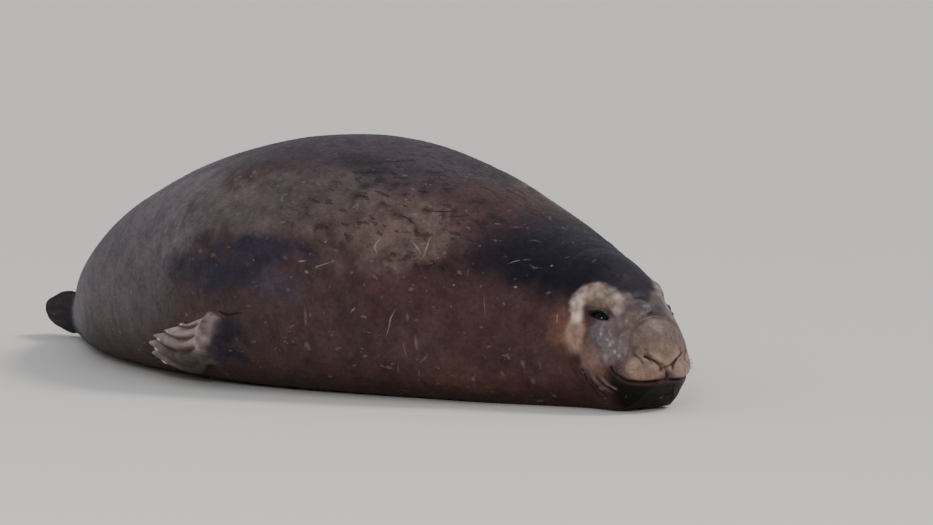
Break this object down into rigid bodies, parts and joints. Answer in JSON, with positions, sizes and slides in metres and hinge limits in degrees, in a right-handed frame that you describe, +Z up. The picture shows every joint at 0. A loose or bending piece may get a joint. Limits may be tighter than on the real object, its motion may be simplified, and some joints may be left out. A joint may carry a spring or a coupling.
{
  "type": "elephant seal model",
  "caption": "Life-size still model of a young bull elephant seal lying on its belly, head turned to its right, fore flippers folded back.",
  "frame": {"origin": "on the floor, under the middle of the whole animal's box", "axes": "+X towards the nose, +Y towards the animal's left, +Z up"},
  "size_m": [3.9954, 1.6644, 0.9445],
  "materials": {
    "skin_back": "damp short fur, blue-grey brown",
    "skin_flank": "damp short fur, dark maroon brown with pale scratches",
    "skin_face": "wet folded skin, taupe and blue-grey",
    "skin_flipper": "matt wrinkled skin, warm grey",
    "claw": "pale horn",
    "eye": "wet black"
  },
  "bodies": {
    "root": {"rump": "skin_back", "loin": "skin_back", "belly": "skin_flank", "chest": "skin_flank", "shoulders": "skin_flank", "neck": "skin_flank", "tail": "skin_back", "head": "skin_face", "proboscis": "skin_face", "lower_jaw": "skin_flank", "eye_right": "eye", "eye_left": "eye", "fore_flipper_right": "skin_flipper", "hind_flipper_right": "skin_flipper", "claw_right_1": "claw", "claw_right_2": "claw", "claw_right_3": "claw", "claw_right_4": "claw", "claw_right_5": "claw", "fore_flipper_left": "skin_flipper", "hind_flipper_left": "skin_flipper", "claw_left_1": "claw", "claw_left_2": "claw", "claw_left_3": "claw", "claw_left_4": "claw", "claw_left_5": "claw"}
  },
  "joints": []
}
